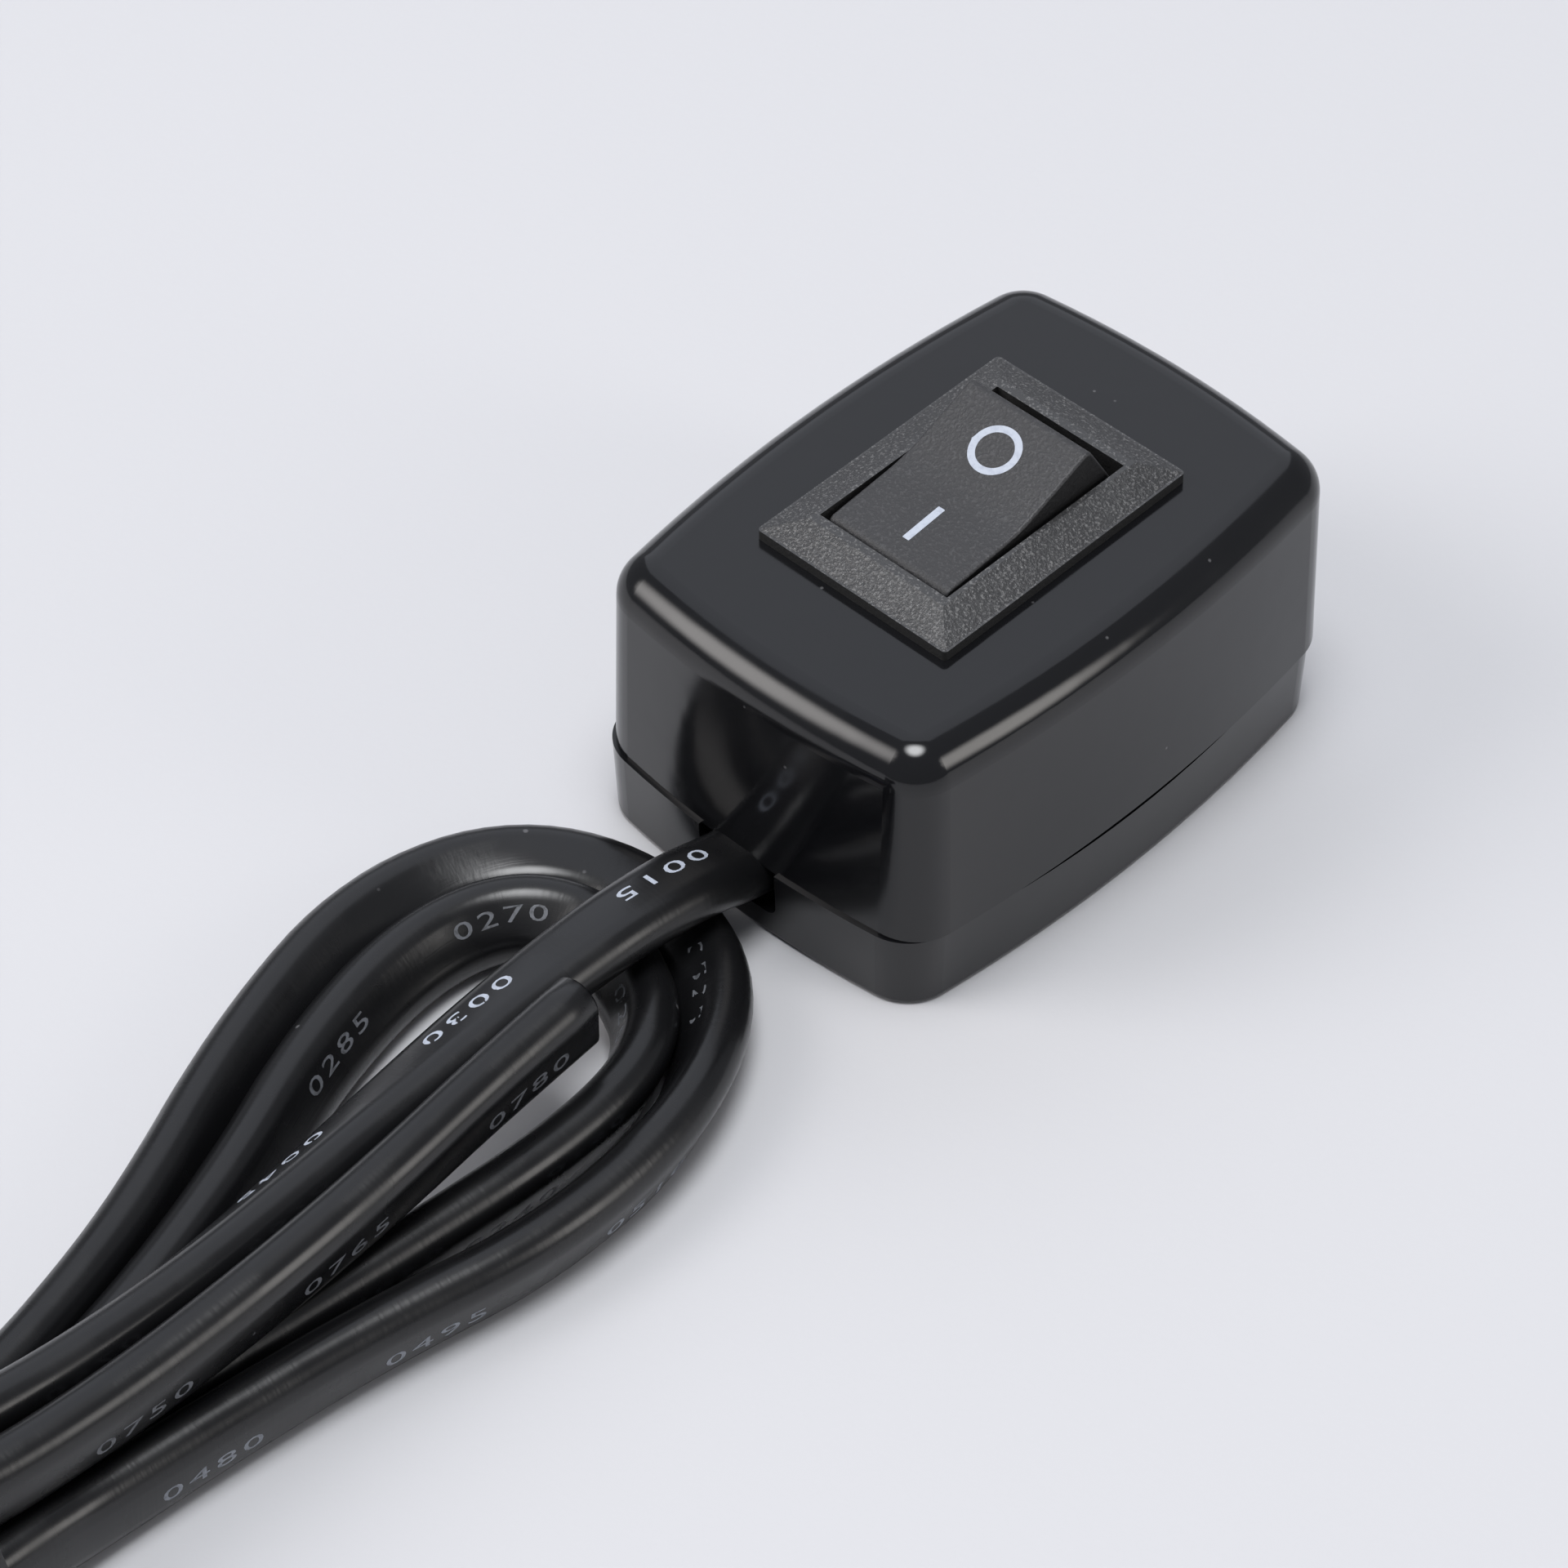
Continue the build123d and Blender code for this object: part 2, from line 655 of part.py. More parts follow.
# Shrink sleeves over the joints and the ends of the cores
sleeve_inner = solder_radius + sleeve_clearance
with BuildPart() as shrink_sleeves:
    for joint_x, joint_y in joint_ends:
        sleeve_end_y = joint_y + solder_length - sleeve_clearance
        with BuildSketch(Plane((joint_x, sleeve_end_y, core_height), z_dir=(0, -1, 0))):
            Circle(sleeve_inner + sleeve_wall)
            Circle(sleeve_inner, mode=Mode.SUBTRACT)
        extrude(amount=sleeve_length)
shrink_sleeves.part.label = "shrink_sleeves"
export_step(shrink_sleeves.part, "parts/shrink_sleeves.step")

# Lead: the flat cable from inside the case, over the loops and along to the waist
with BuildPart() as cable_lead:
    with BuildLine() as lead_route:
        FilletPolyline(*lead_points, radius=bend_radii("lead", lead_points))
    with BuildSketch(Plane(lead_route.line @ 0, x_dir=(1, 0, 0), z_dir=lead_route.line % 0)):
        SlotOverall(cable_width, cable_thickness)
    sweep(path=lead_route.line)
lead_length = sum(edge.length for edge in lead_route.edges())
print("lead length", round(lead_length, 1))
cable_lead.part.label = "cable_lead"
export_step(cable_lead.part, "parts/cable_lead.step")

# Tail: the cable's free end, standing on its narrow side next to the lead
with BuildPart() as cable_tail:
    with BuildLine() as tail_route:
        FilletPolyline(*tail_points, radius=bend_radii("tail", tail_points))
    with BuildSketch(Plane(tail_route.line @ 0, x_dir=(0, 0, 1), z_dir=tail_route.line % 0)):
        SlotOverall(cable_width, cable_thickness)
    sweep(path=tail_route.line)
tail_length = sum(edge.length for edge in tail_route.edges())
print("tail length", round(tail_length, 1))
cable_tail.part.label = "cable_tail"
export_step(cable_tail.part, "parts/cable_tail.step")

# Hank: outer shape of the loops, with their two eyes, a low front and a groove for the tie
lead_end_x, _, lead_end_z = lead_points[-1]
tail_end_x, _, tail_end_z = tail_points[0]
shoulder_top = lead_end_z + cable_thickness / 2
top_turn_height = tail_end_z + cable_width / 2
turn_tip = (tail_end_x, waist_far_y - cable_thickness / 2)
turn_inner_tip = (tail_end_x, waist_far_y - 3 * cable_thickness)
waist_middle_y = (waist_near_y + waist_far_y) / 2
with BuildPart() as cable_hank:
    with BuildSketch():
        add(teardrop(near_loop_centre, near_loop_radius, (waist_x, waist_near_y), waist_width / 2))
        add(teardrop(far_loop_centre, far_loop_radius, (waist_x, waist_far_y), waist_width / 2))
        with Locations((waist_x, waist_middle_y)):
            Rectangle(waist_width, waist_near_y - waist_far_y)
        add(teardrop(near_eye_centre, near_eye_radius, near_eye_tip, eye_tip_radius), mode=Mode.SUBTRACT)
        add(teardrop(far_loop_centre, far_eye_radius, far_eye_tip, eye_tip_radius), mode=Mode.SUBTRACT)
    extrude(amount=strand_height)
    with BuildSketch(Plane.YZ):
        with BuildLine():
            Polyline(
                (0, saddle_front_height),
                (saddle_front_y, saddle_front_height),
                (saddle_middle_y, saddle_middle_height),
                (saddle_back_y, strand_height),
                (saddle_back_y, 2 * strand_height),
                (0, 2 * strand_height),
                close=True,
            )
        make_face()
    extrude(amount=2 * near_loop_radius, both=True, mode=Mode.SUBTRACT)
    with BuildSketch(Plane.XY.offset(strand_height / 2)):
        add(teardrop(far_loop_centre, top_turn_radius, turn_tip, cable_thickness / 2))
        inner_turn = teardrop(
            far_loop_centre, top_turn_radius - cable_thickness, turn_inner_tip, eye_tip_radius
        )
        add(inner_turn, mode=Mode.SUBTRACT)
    extrude(amount=top_turn_height - strand_height / 2)
    with BuildSketch(Plane.YZ.offset(far_loop_centre[0])):
        with BuildLine():
            Polyline(
                (waist_far_y, strand_height),
                (top_turn_start_y, strand_height),
                (top_turn_level_y, top_turn_height),
                (waist_far_y, 2 * top_turn_height),
                close=True,
            )
        make_face()
    extrude(amount=-2 * far_loop_radius, mode=Mode.SUBTRACT)
    with BuildSketch(Plane.YZ.offset(lead_end_x - cable_width / 2)):
        with BuildLine():
            Polyline(
                (waist_far_y, strand_height / 2),
                (waist_far_y, shoulder_top),
                (shoulder_end_y, strand_height),
                (shoulder_end_y, strand_height / 2),
                close=True,
            )
        make_face()
    extrude(amount=cable_width)
    with BuildSketch():
        with Locations((waist_x, tie_y)):
            Rectangle(2 * waist_width, tie_width + 2 * tie_gap)
    extrude(amount=tie_thickness + 2 * tie_gap, mode=Mode.SUBTRACT)
cable_hank.part.label = "cable_hank"
export_step(cable_hank.part, "parts/cable_hank.step")

# Tie: a flat band drawn round the waist, the lead and the tail
band_left = waist_x - waist_width / 2 - tie_gap
band_right = waist_x + waist_width / 2 + tie_gap
band_bottom = tie_thickness + tie_gap
band_shoulder = strand_height + tie_gap
lead_left = lead_points[-2][0] - cable_width / 2
lead_high = lead_points[-2][2] + cable_thickness / 2 + tie_gap
tail_left = tail_points[1][0] - cable_thickness / 2
tail_right = tail_points[1][0] + cable_thickness / 2 + tie_gap
tail_high = tail_points[1][2] + cable_width / 2 + tie_gap
with BuildPart() as hank_tie:
    with BuildSketch(Plane.XZ.offset(-tie_y - tie_width / 2)) as band:
        with BuildLine():
            Polyline(
                (band_left, band_bottom),
                (band_right, band_bottom),
                (band_right, band_shoulder),
                (tail_right, tail_high),
                (tail_left, tail_high),
                (lead_left, lead_high),
                (band_left, band_shoulder),
                close=True,
            )
        make_face()
        inside = band.sketch
        offset(amount=tie_thickness, mode=Mode.REPLACE)
        add(inside, mode=Mode.SUBTRACT)
    extrude(amount=tie_width)
hank_tie.part.label = "hank_tie"
export_step(hank_tie.part, "parts/hank_tie.step")
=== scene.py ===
from math import cos, exp, pi, radians, sin

import bpy
from mathutils import Matrix, Vector


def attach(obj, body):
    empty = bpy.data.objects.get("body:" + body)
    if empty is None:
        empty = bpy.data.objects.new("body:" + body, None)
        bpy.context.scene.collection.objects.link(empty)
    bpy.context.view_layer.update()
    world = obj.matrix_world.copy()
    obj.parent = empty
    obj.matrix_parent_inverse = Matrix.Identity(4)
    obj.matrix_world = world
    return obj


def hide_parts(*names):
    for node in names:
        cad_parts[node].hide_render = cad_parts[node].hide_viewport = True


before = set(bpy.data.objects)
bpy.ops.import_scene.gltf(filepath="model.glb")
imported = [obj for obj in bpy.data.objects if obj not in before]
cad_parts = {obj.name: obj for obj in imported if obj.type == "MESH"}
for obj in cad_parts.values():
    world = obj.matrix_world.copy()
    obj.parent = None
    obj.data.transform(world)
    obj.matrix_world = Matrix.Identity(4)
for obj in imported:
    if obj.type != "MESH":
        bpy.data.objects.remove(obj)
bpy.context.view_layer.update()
mm = 0.001
scene = bpy.context.scene
scene.view_settings.view_transform = "Standard"
print("frame loaded with", len(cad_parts), "solids")


# camera, at the angle of the photograph
cameraView = {
    "turn": 44.025,  # degrees round from the cable side
    "height": 46.159,
    "roll": -0.309,
    "distance": 349.085,  # mm
    "slide": (11.161, 2.346),
    "lens": 130.33,
    "sensor": 36,
    "clip": (0.01, 20),  # metres
}


def placeCamera(view):
    turn, height, roll = (radians(view[key]) for key in ("turn", "height", "roll"))
    right = Vector((cos(turn), sin(turn), 0))
    back = Vector((sin(turn) * cos(height), -cos(turn) * cos(height), sin(height)))
    up = back.cross(right)
    right, up = right * cos(roll) + up * sin(roll), up * cos(roll) - right * sin(roll)
    data = bpy.data.cameras.new("photoCamera")
    data.lens = view["lens"]
    data.sensor_width = view["sensor"]
    data.clip_start, data.clip_end = view["clip"]
    camera = bpy.data.objects.new("photoCamera", data)
    scene.collection.objects.link(camera)
    spot = (back * view["distance"] - right * view["slide"][0] - up * view["slide"][1]) * mm
    turnTo = Matrix((right, up, back)).transposed().to_4x4()
    camera.matrix_world = Matrix.Translation(spot) @ turnTo
    scene.camera = camera


placeCamera(cameraView)
print("camera placed")


# node helpers
def isSocket(value):
    return isinstance(value, bpy.types.NodeSocket)


def addNode(tree, kind, inputs=None, **settings):
    node = tree.nodes.new("ShaderNode" + kind)
    for key, value in settings.items():
        setattr(node, key, value)
    for key, value in (inputs or {}).items():
        if isSocket(value):
            tree.links.new(value, node.inputs[key])
        else:
            node.inputs[key].default_value = value
    return node


def mathNode(tree, operation, first, second):
    return addNode(tree, "Math", {0: first, 1: second}, operation=operation).outputs[0]


def times(tree, first, second):
    return mathNode(tree, "MULTIPLY", first, second)


def stretch(tree, value, low, high, toLow=0.0, toHigh=1.0):
    limits = {"Value": value, "From Min": low, "From Max": high, "To Min": toLow, "To Max": toHigh}
    return addNode(tree, "MapRange", limits, interpolation_type="SMOOTHSTEP").outputs["Result"]


def between(tree, mask, low, high):
    # low where the mask is 0, high where it is 1
    return stretch(tree, mask, 0.0, 1.0, low, high)


def noise(tree, place, size, detail=2.0, rough=0.55):
    inputs = {"Vector": place, "Scale": size, "Detail": detail, "Roughness": rough}
    return addNode(tree, "TexNoise", inputs).outputs[0]


def blendTint(tree, amount, first, second):
    first, second = (tint if isSocket(tint) else (*tint, 1) for tint in (first, second))
    return addNode(tree, "Mix", {0: amount, 6: first, 7: second}, data_type="RGBA").outputs[2]


def bumpNode(tree, height, depth):
    return addNode(tree, "Bump", {"Height": height, "Distance": depth}).outputs["Normal"]


def objectPlace(tree):
    return addNode(tree, "TexCoord").outputs["Object"]


def storedValue(tree, name):
    return addNode(tree, "Attribute", attribute_name=name).outputs["Fac"]


def newGroup(name, inputs, outputs):
    group = bpy.data.node_groups.new(name, "ShaderNodeTree")
    for label, value in inputs.items():
        socket = group.interface.new_socket(label, in_out="INPUT", socket_type="NodeSocketFloat")
        socket.default_value = value
    for label in outputs:
        group.interface.new_socket(label, in_out="OUTPUT", socket_type="NodeSocketFloat")
    given = group.nodes.new("NodeGroupInput").outputs
    result = group.nodes.new("NodeGroupOutput").inputs
    return group, given, result


def useGroup(tree, group, **values):
    node = addNode(tree, "Group", node_tree=group)
    for key, value in values.items():
        node.inputs[key].default_value = value
    return node.outputs


# effects that several finishes share
grainAndGlintBands = {
    "coarse": 0.45,  # scale of the wide pits against that of the fine grain
    "wide": (0.3, 0.7),
    "fine": (0.25, 0.75),
    # mask of the painted glints
    "glint": (0.52, 0.70),
}

handlingBands = {
    "smear": (0.32, 0.7),
    "speck": (0.09, 0.03),  # from the edge of a speck to its middle
    "empty": 0.86,  # share of the cells that hold no speck
}

tarnishBands = {
    "dull": (0.3, 0.7),
    "rolled": (12.0, 1.0, 12.0),  # draws the lines out along y
}


def makeGrainAndGlints(bands):
    # pits of a spark eroded mould, and a mask of painted glints: flecks of lighter colour standing in
    # for light caught by the grain
    group, given, result = newGroup("grainAndGlints", {"Size": 6000.0, "Pits": 0.5}, ("Height", "Glint"))
    place = objectPlace(group)
    fine = noise(group, place, given["Size"], detail=2.0, rough=0.6)
    wideSize = times(group, given["Size"], bands["coarse"])
    wide = noise(group, place, wideSize, detail=1.0, rough=0.5)
    pits = times(group, stretch(group, wide, *bands["wide"]), given["Pits"])
    height = mathNode(group, "ADD", stretch(group, fine, *bands["fine"]), pits)
    group.links.new(height, result["Height"])
    group.links.new(stretch(group, fine, *bands["glint"]), result["Glint"])
    return group


def makeHandling(bands):
    # smears from hands, and specks of dust
    group, given, result = newGroup("handling", {"Size": 120.0, "Specks": 900.0}, ("Smear", "Dust"))
    place = objectPlace(group)
    cloud = noise(group, place, given["Size"], detail=4.0, rough=0.6)
    group.links.new(stretch(group, cloud, *bands["smear"]), result["Smear"])
    cells = addNode(group, "TexVoronoi", {"Vector": place, "Scale": given["Specks"]})
    near = stretch(group, cells.outputs["Distance"], *bands["speck"])
    chance = addNode(group, "SeparateColor", {0: cells.outputs["Color"]}).outputs[0]
    few = mathNode(group, "GREATER_THAN", chance, bands["empty"])
    group.links.new(times(group, near, few), result["Dust"])
    return group


def makeTarnish(bands):
    # uneven dulling of bare metal, and its rolling lines
    group, given, result = newGroup("tarnish", {"Size": 700.0}, ("Dull", "Lines"))
    place = objectPlace(group)
    cloud = noise(group, place, given["Size"], detail=3.0, rough=0.6)
    group.links.new(stretch(group, cloud, *bands["dull"]), result["Dull"])
    rolled = addNode(group, "Mapping", {"Vector": place, "Scale": bands["rolled"]}).outputs["Vector"]
    group.links.new(noise(group, rolled, given["Size"], detail=1.0), result["Lines"])
    return group


grainAndGlints = makeGrainAndGlints(grainAndGlintBands)
handling = makeHandling(handlingBands)
tarnish = makeTarnish(tarnishBands)


# finishes; counts of smears, specks, grains and the like are per metre
def newFinish(name, tint, rough):
    material = bpy.data.materials.new(name)
    material.use_nodes = True
    shader = material.node_tree.nodes["Principled BSDF"]
    shader.inputs["Base Color"].default_value = (*tint, 1)
    shader.inputs["Roughness"].default_value = rough
    return material, material.node_tree, shader.inputs


caseFinish = {
    "tint": (0.0056, 0.0058, 0.0068),
    "dust": (0.16, 0.16, 0.165),
    "dustShare": 0.5,
    "specks": 620.0,
    "smears": 90.0,
    "gloss": (0.10, 0.17),  # roughness where clean and where smeared
    "peel": 420.0,  # waves of the moulded skin
    "peelDepth": 0.000012,
}


def makeCaseGloss(look):
    material, tree, shader = newFinish("caseGloss", look["tint"], look["gloss"][0])
    marks = useGroup(tree, handling, Size=look["smears"], Specks=look["specks"])
    dusty = times(tree, marks["Dust"], look["dustShare"])
    tree.links.new(blendTint(tree, dusty, look["tint"], look["dust"]), shader["Base Color"])
    tree.links.new(between(tree, marks["Smear"], *look["gloss"]), shader["Roughness"])
    peel = noise(tree, objectPlace(tree), look["peel"], detail=1.0)
    tree.links.new(bumpNode(tree, peel, look["peelDepth"]), shader["Normal"])
    return material


bezelFinishPaintedLight = {
    "tint": (0.024, 0.024, 0.025),
    # painted glints: the lighter colour of the grain's flecks
    "glint": (0.125, 0.124, 0.124),
    "rough": (0.32, 0.40),
    "smears": 160.0,
    "grain": 5600.0,
    "pits": 0.5,
    "depth": 0.000017,
    "shine": 0.8,
    "upright": (0.1, 0.4),  # rise of the normal, from a wall with painted shade to a grained face
    # painted shade: near-black colour of the bezel's upright walls
    "shadedWall": (0.003, 0.003, 0.0032),
    "wallRough": 0.75,
}

rockerFinishPaintedLight = {
    "tint": (0.0290, 0.0290, 0.0312),
    # painted glints: the lighter colour of the grain's flecks
    "glint": (0.053, 0.053, 0.056),
    "rough": (0.46, 0.58),
    "smears": 160.0,
    "grain": 4600.0,
    "pits": 0.25,
    "depth": 0.00002,
    "shine": 0.5,
    "upright": (0.1, 0.4),
    # painted shade: dark colour of the rocker's upright walls
    "shadedWall": (0.010, 0.010, 0.0105),
    "wallRough": 0.6,
}


def makeGrainedWithPaintedLight(name, look):
    # upright walls get painted shade, a dark colour without glints, and a plain rough skin
    material, tree, shader = newFinish(name, look["tint"], look["rough"][0])
    shader["Specular IOR Level"].default_value = look["shine"]
    grain = useGroup(tree, grainAndGlints, Size=look["grain"], Pits=look["pits"])
    facing = addNode(tree, "NewGeometry").outputs["True Normal"]
    rise = addNode(tree, "SeparateXYZ", {0: facing}).outputs["Z"]
    upper = stretch(tree, rise, *look["upright"])
    # painted glints: lighter colour on the grain's flecks
    paintedGlints = blendTint(tree, grain["Glint"], look["tint"], look["glint"])
    # painted shade: upright walls take the dark wall colour instead of the grained one
    tree.links.new(blendTint(tree, upper, look["shadedWall"], paintedGlints), shader["Base Color"])
    marks = useGroup(tree, handling, Size=look["smears"])
    skin = between(tree, marks["Smear"], *look["rough"])
    plain = between(tree, upper, look["wallRough"], 0.0)
    tree.links.new(mathNode(tree, "MAXIMUM", skin, plain), shader["Roughness"])
    tree.links.new(bumpNode(tree, grain["Height"], look["depth"]), shader["Normal"])
    return material


cableFinish = {
    "tint": (0.0062, 0.0063, 0.0070),
    "nick": (0.10, 0.10, 0.105),
    "nicks": 420.0,
    "smears": 140.0,
    "rough": (0.23, 0.32),
    "ripple": 3300.0,  # creases across the cable where it bends
    "rippleAround": 0.06,  # their scale round the cable, against that along it
    "streak": 1900.0,  # lines drawn along it by the die
    "streakAlong": 0.01,  # their scale along the cable, against that round it
    "streakShare": 0.35,
    "depth": 0.000012,
}


def makeCableSkin(look):
    material, tree, shader = newFinish("cableSkin", look["tint"], look["rough"][0])
    run, around = storedValue(tree, "run"), storedValue(tree, "around")
    marks = useGroup(tree, handling, Size=look["smears"], Specks=look["nicks"])
    tree.links.new(blendTint(tree, marks["Dust"], look["tint"], look["nick"]), shader["Base Color"])
    tree.links.new(between(tree, marks["Smear"], *look["rough"]), shader["Roughness"])
    across = addNode(tree, "CombineXYZ", {0: run, 1: times(tree, around, look["rippleAround"])})
    along = addNode(tree, "CombineXYZ", {0: times(tree, run, look["streakAlong"]), 1: around})
    ripple = noise(tree, across.outputs[0], look["ripple"], detail=1.0)
    streak = noise(tree, along.outputs[0], look["streak"])
    creased = times(tree, ripple, marks["Smear"])
    height = mathNode(tree, "ADD", creased, times(tree, streak, look["streakShare"]))
    tree.links.new(bumpNode(tree, height, look["depth"]), shader["Normal"])
    return material


markInk = {
    "tint": (0.46, 0.50, 0.575),
    "worn": (0.385, 0.42, 0.50),
    "wear": 2600.0,
    "thin": (0.42, 0.7),
    "rough": (0.45, 0.62),  # where the ink is full and where it is thin
}

printInk = {
    "tint": (0.43, 0.47, 0.55),
    "rubbed": (0.150, 0.158, 0.175),
    "bare": (0.070, 0.073, 0.080),
    "freshWear": 0.35,
    "wear": 1900.0,
    "thin": (0.42, 0.7),
    "rough": (0.45, 0.62),
}


def newInk(name, look):
    # printed ink, thin in places
    material, tree, shader = newFinish(name, look["tint"], look["rough"][0])
    cloud = noise(tree, objectPlace(tree), look["wear"], detail=3.0, rough=0.7)
    thin = stretch(tree, cloud, *look["thin"])
    tree.links.new(between(tree, thin, *look["rough"]), shader["Roughness"])
    return material, tree, shader, thin


def makeMarkInk(look):
    material, tree, shader, thin = newInk("markWhite", look)
    tree.links.new(blendTint(tree, thin, look["tint"], look["worn"]), shader["Base Color"])
    return material


def makePrintInk(look):
    # bright where the cable is fresh, rubbed thin further along
    material, tree, shader, thin = newInk("printInk", look)
    old = blendTint(tree, thin, look["rubbed"], look["bare"])
    new = blendTint(tree, times(tree, thin, look["freshWear"]), look["tint"], look["rubbed"])
    tree.links.new(blendTint(tree, storedValue(tree, "fresh"), old, new), shader["Base Color"])
    return material


plasticSkin = {"smears": 260.0, "duller": 0.12, "grain": 3600.0, "pits": 0.3, "depth": 0.000006}
metalSkin = {"clouds": 700.0, "duller": 0.2, "depth": 0.000004}


def makePlastic(name, tint, darker, rough):
    material, tree, shader = newFinish(name, tint, rough)
    smear = useGroup(tree, handling, Size=plasticSkin["smears"])["Smear"]
    tree.links.new(blendTint(tree, smear, tint, darker), shader["Base Color"])
    tree.links.new(between(tree, smear, rough, rough + plasticSkin["duller"]), shader["Roughness"])
    grain = useGroup(tree, grainAndGlints, Size=plasticSkin["grain"], Pits=plasticSkin["pits"])
    tree.links.new(bumpNode(tree, grain["Height"], plasticSkin["depth"]), shader["Normal"])
    return material


def makeMetal(name, tint, dull, rough):
    material, tree, shader = newFinish(name, tint, rough)
    shader["Metallic"].default_value = 1.0
    skin = useGroup(tree, tarnish, Size=metalSkin["clouds"])
    tree.links.new(blendTint(tree, skin["Dull"], tint, dull), shader["Base Color"])
    tree.links.new(between(tree, skin["Dull"], rough, rough + metalSkin["duller"]), shader["Roughness"])
    tree.links.new(bumpNode(tree, skin["Lines"], metalSkin["depth"]), shader["Normal"])
    return material


cableSkin = makeCableSkin(cableFinish)
markWhite = makeMarkInk(markInk)
printGrey = makePrintInk(printInk)
copperStrand = makeMetal("copperStrand", (0.72, 0.36, 0.20), (0.48, 0.22, 0.12), 0.28)
finishOf = {
    "case_black": makeCaseGloss(caseFinish),
    "cable_black": cableSkin,
    "frame_black": makeGrainedWithPaintedLight("bezelGrainPaintedLight", bezelFinishPaintedLight),
    "rocker_black": makeGrainedWithPaintedLight("rockerGrainPaintedLight", rockerFinishPaintedLight),
    "screw_steel": makeMetal("screwSteel", (0.42, 0.41, 0.39), (0.30, 0.29, 0.28), 0.32),
    "spring_steel": makeMetal("springSteel", (0.50, 0.49, 0.47), (0.38, 0.37, 0.36), 0.25),
    "contact_brass": makeMetal("brassStrip", (0.76, 0.56, 0.26), (0.56, 0.40, 0.18), 0.28),
    "contact_silver": makeMetal("silverFace", (0.82, 0.81, 0.78), (0.62, 0.61, 0.58), 0.22),
    "solder": makeMetal("solderGrey", (0.60, 0.60, 0.61), (0.42, 0.42, 0.43), 0.34),
    "plunger_white": makePlastic("plungerNylon", (0.72, 0.71, 0.66), (0.64, 0.62, 0.56), 0.42),
    "core_brown": makePlastic("coreBrown", (0.105, 0.042, 0.019), (0.080, 0.032, 0.015), 0.38),
    "core_blue": makePlastic("coreBlue", (0.030, 0.115, 0.36), (0.024, 0.090, 0.29), 0.38),
    "sleeve_black": makePlastic("sleeveMatt", (0.016, 0.016, 0.017), (0.024, 0.024, 0.025), 0.52),
    "tie_black": makePlastic("tieNylon", (0.014, 0.014, 0.015), (0.021, 0.021, 0.022), 0.36),
}


def dressNodes():
    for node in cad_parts.values():
        slotName = node.data.materials[0].name
        node.data.materials[0] = finishOf[slotName]


dressNodes()
print("finishes made for", len(finishOf), "slots")


# mesh helpers
def meshPiece(name, verts, faces, material, smooth=True):
    mesh = bpy.data.meshes.new(name)
    mesh.from_pydata(verts, [], faces)
    mesh.validate()
    for polygon in mesh.polygons:
        polygon.use_smooth = smooth
    mesh.materials.append(material)
    piece = bpy.data.objects.new(name, mesh)
    scene.collection.objects.link(piece)
    return piece


def storeValues(piece, name, values):
    piece.data.attributes.new(name, "FLOAT", "POINT").data.foreach_set("value", values)


def tubeFaces(rings, count):
    # quads between rings of points, then a flat face at each end
    faces = []
    for ring in range(rings - 1):
        for k in range(count):
            a, b = ring * count + k, ring * count + (k + 1) % count
            faces.append((a, b, b + count, a + count))
    last = (rings - 1) * count
    return faces + [tuple(reversed(range(count))), tuple(range(last, last + count))]


def curveMesh(curve):
    # the points and faces that Blender makes of a curve or of text
    holder = bpy.data.objects.new("sketch", curve)
    scene.collection.objects.link(holder)
    bpy.context.view_layer.update()
    mesh = bpy.data.meshes.new_from_object(holder)
    points = [vertex.co.copy() for vertex in mesh.vertices]
    faces = [tuple(polygon.vertices) for polygon in mesh.polygons]
    bpy.data.objects.remove(holder)
    bpy.data.curves.remove(curve)
    bpy.data.meshes.remove(mesh)
    return points, faces


def splinePoints(points, steps):
    # points along a smooth spline that has these as its control points
    curve = bpy.data.curves.new("route", "CURVE")
    curve.dimensions = "3D"
    curve.resolution_u = steps
    spline = curve.splines.new("NURBS")
    spline.points.add(len(points) - 1)
    for spot, point in zip(spline.points, points):
        spot.co = (*point, 1)
    spline.order_u = 3
    spline.use_endpoint_u = True
    return curveMesh(curve)[0]


